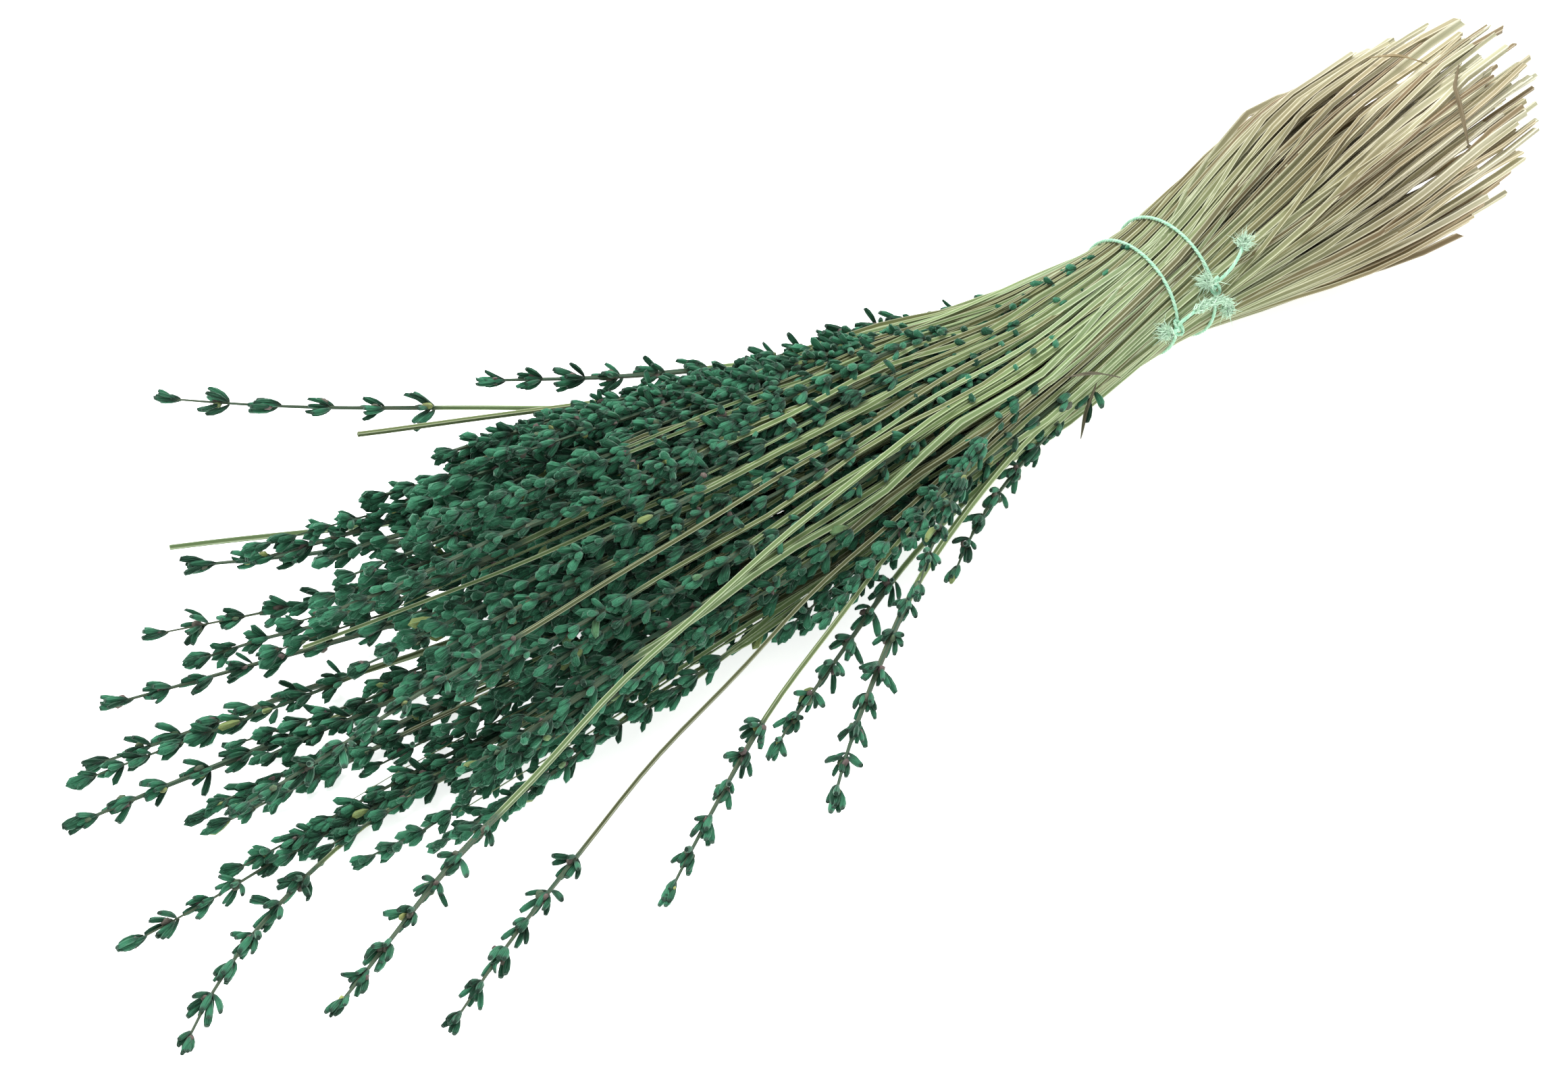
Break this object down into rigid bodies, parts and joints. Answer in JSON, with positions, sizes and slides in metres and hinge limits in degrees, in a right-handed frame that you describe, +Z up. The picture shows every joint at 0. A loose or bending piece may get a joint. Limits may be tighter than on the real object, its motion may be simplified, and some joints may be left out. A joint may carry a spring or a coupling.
{
  "type": "dried lavender bunch",
  "caption": "Bunch of dried, dark green dyed lavender lying on its side, bound at the neck with mint cotton string, flower spikes fanned out one way and cut stems the other.",
  "frame": {"origin": "under the middle of the bounding box, on the surface the bunch lies on", "axes": "+X from the flower spikes towards the cut stem ends, +Z up; the nearer side of the fan is -Y"},
  "size_m": [0.6646, 0.3242, 0.0888],
  "materials": {
    "dyed_stalk": "matt dried plant, dyed dark green flowers on a yellow-green square stem",
    "bare_stem": "matt dried square stem, yellow-green to straw",
    "inner_stalks": "matt dried plant, dyed dark green flowers and straw stems",
    "cotton_string": "matt twisted cotton, mint green",
    "dry_leaf": "matt dry leaf, dark brown-green"
  },
  "bodies": {
    "root": {"bare_stem_01": "bare_stem", "bare_stem_02": "bare_stem", "bare_stem_03": "bare_stem", "cut_side_tie": "cotton_string", "dry_leaf_01": "dry_leaf", "dry_leaf_02": "dry_leaf", "dry_leaf_03": "dry_leaf", "dry_leaf_04": "dry_leaf", "flower_side_tie": "cotton_string", "inner_stalks": "inner_stalks", "stalk_01": "dyed_stalk", "stalk_02": "dyed_stalk", "stalk_03": "dyed_stalk", "stalk_04": "dyed_stalk", "stalk_05": "dyed_stalk", "stalk_06": "dyed_stalk", "stalk_07": "dyed_stalk", "stalk_08": "dyed_stalk", "stalk_09": "dyed_stalk", "stalk_10": "dyed_stalk", "stalk_11": "dyed_stalk", "stalk_12": "dyed_stalk", "stalk_13": "dyed_stalk", "stalk_14": "dyed_stalk", "stalk_15": "dyed_stalk", "stalk_16": "dyed_stalk", "stalk_17": "dyed_stalk", "stalk_18": "dyed_stalk", "stalk_19": "dyed_stalk", "stalk_20": "dyed_stalk", "stalk_21": "dyed_stalk", "stalk_22": "dyed_stalk", "stalk_23": "dyed_stalk", "stalk_24": "dyed_stalk", "stalk_25": "dyed_stalk", "stalk_26": "dyed_stalk", "stalk_27": "dyed_stalk", "stalk_28": "dyed_stalk", "stalk_29": "dyed_stalk", "stalk_30": "dyed_stalk", "stalk_31": "dyed_stalk", "stalk_32": "dyed_stalk", "stalk_33": "dyed_stalk", "stalk_34": "dyed_stalk", "stalk_35": "dyed_stalk", "stalk_36": "dyed_stalk", "stalk_37": "dyed_stalk", "stalk_38": "dyed_stalk", "stalk_39": "dyed_stalk", "stalk_40": "dyed_stalk", "stalk_41": "dyed_stalk", "stalk_42": "dyed_stalk", "stalk_43": "dyed_stalk"}
  },
  "joints": []
}
